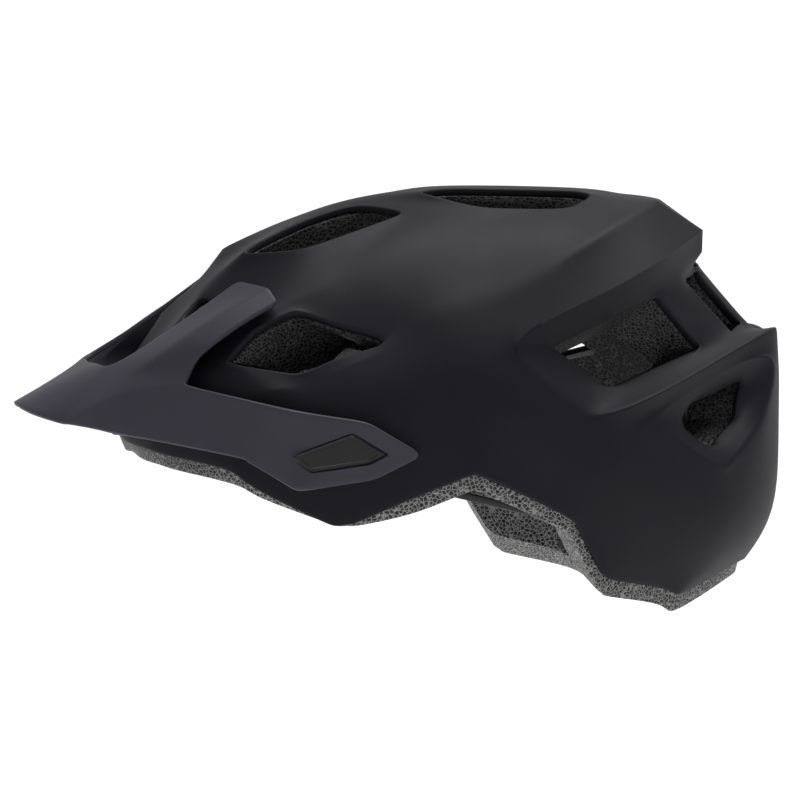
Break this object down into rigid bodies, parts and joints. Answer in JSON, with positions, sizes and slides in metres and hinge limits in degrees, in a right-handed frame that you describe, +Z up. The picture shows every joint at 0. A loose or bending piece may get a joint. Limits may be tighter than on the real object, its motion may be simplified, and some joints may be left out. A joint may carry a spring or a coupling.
{
  "type": "cycling helmet",
  "caption": "Trail cycling helmet with a vented moulded shell over foam, a tilting visor, a dial-adjusted head ring and stowed chin straps.",
  "frame": {"origin": "centre of the head ring, on the vertical axis of the head, 16 mm below the top of the ear arches", "axes": "+X to the wearer's left, -Y forward towards the visor, +Z up in the worn position"},
  "size_m": [0.206, 0.3354, 0.1798],
  "materials": {
    "shell": "soft matt black, very fine grain",
    "foam": "grey expanded polystyrene with pale seams between dark beads",
    "visor": "matt dark grey, slightly violet",
    "cap": "satin black",
    "plastic": "satin black nylon",
    "knob": "satin black with fine ribs",
    "pad": "brushed black knit over foam",
    "webbing": "woven black polyester",
    "steel": "plain screw steel"
  },
  "bodies": {
    "helmet": {"outer_shell": "shell", "foam_liner": "foam", "visor_stud_left": "plastic", "visor_stud_right": "plastic", "ring_front": "plastic", "ring_side_left": "plastic", "ring_side_right": "plastic", "cradle_hanger": "plastic", "brow_pad": "pad", "crown_pad_front": "pad", "crown_pad_rear": "pad", "side_pad_left": "pad", "side_pad_right": "pad", "strap_anchor_front_left": "plastic", "strap_anchor_front_right": "plastic", "strap_anchor_rear_left": "plastic", "strap_anchor_rear_right": "plastic", "strap_front_left": "webbing", "strap_front_right": "webbing", "strap_rear_left": "webbing", "strap_rear_right": "webbing", "strap_divider_left": "plastic", "strap_divider_right": "plastic", "chin_strap_left": "webbing", "chin_strap_right": "webbing", "buckle_housing": "plastic", "buckle_tongue": "plastic"},
    "visor": {"visor": "visor", "visor_bolt_left": "steel", "visor_bolt_right": "steel", "visor_cap_left": "cap", "visor_cap_right": "cap"},
    "cradle": {"cradle": "plastic", "cradle_arm": "plastic", "cradle_pad_left": "pad", "cradle_pad_right": "pad", "dial_housing": "plastic"},
    "dial": {"dial_pinion": "plastic", "dial_knob": "knob"},
    "rack_left": {"rack_left": "plastic"},
    "rack_right": {"rack_right": "plastic"},
    "lever_left": {"divider_lever_left": "knob"},
    "lever_right": {"divider_lever_right": "knob"},
    "prong_front": {"buckle_prong_front": "knob"},
    "prong_rear": {"buckle_prong_rear": "knob"}
  },
  "joints": [
    {"name": "visor_tilt", "type": "hinge", "parent": "helmet", "child": "visor", "pos_m": [0, -0.071, 0.027], "axis": [-1, 0, 0], "range_deg": [-8, 2.5]},
    {"name": "cradle_height", "type": "slide", "parent": "helmet", "child": "cradle", "axis": [0, 0, 1], "range_m": [-0.008, 0.008]},
    {"name": "fit_dial", "type": "hinge", "parent": "cradle", "child": "dial", "pos_m": [0, 0.089, -0.022], "axis": [0, -1, 0], "range_deg": [0, 120]},
    {"name": "rack_left_slide", "type": "hinge", "parent": "cradle", "child": "rack_left", "pos_m": [0, 0.019, -0.015], "axis": [0, 0, 1], "range_deg": [0, 8.62]},
    {"name": "rack_right_slide", "type": "hinge", "parent": "cradle", "child": "rack_right", "pos_m": [0, 0.019, -0.029], "axis": [0, 0, -1], "range_deg": [0, 8.62]},
    {"name": "lever_left_open", "type": "hinge", "parent": "helmet", "child": "lever_left", "pos_m": [0.0644, 0, 0.0527], "axis": [0, 1, 0], "range_deg": [0, 75]},
    {"name": "lever_right_open", "type": "hinge", "parent": "helmet", "child": "lever_right", "pos_m": [-0.0644, 0, 0.0527], "axis": [0, -1, 0], "range_deg": [0, 75]},
    {"name": "prong_front_squeeze", "type": "slide", "parent": "helmet", "child": "prong_front", "axis": [0, 1, 0], "range_m": [0, 0.0014], "stiffness_N_per_m": 300},
    {"name": "prong_rear_squeeze", "type": "slide", "parent": "helmet", "child": "prong_rear", "axis": [0, -1, 0], "range_m": [0, 0.0014], "stiffness_N_per_m": 300}
  ],
  "couplings": [
    {"joint": "rack_left_slide", "follows": "fit_dial", "ratio": 0.0718},
    {"joint": "rack_right_slide", "follows": "fit_dial", "ratio": 0.0718}
  ]
}
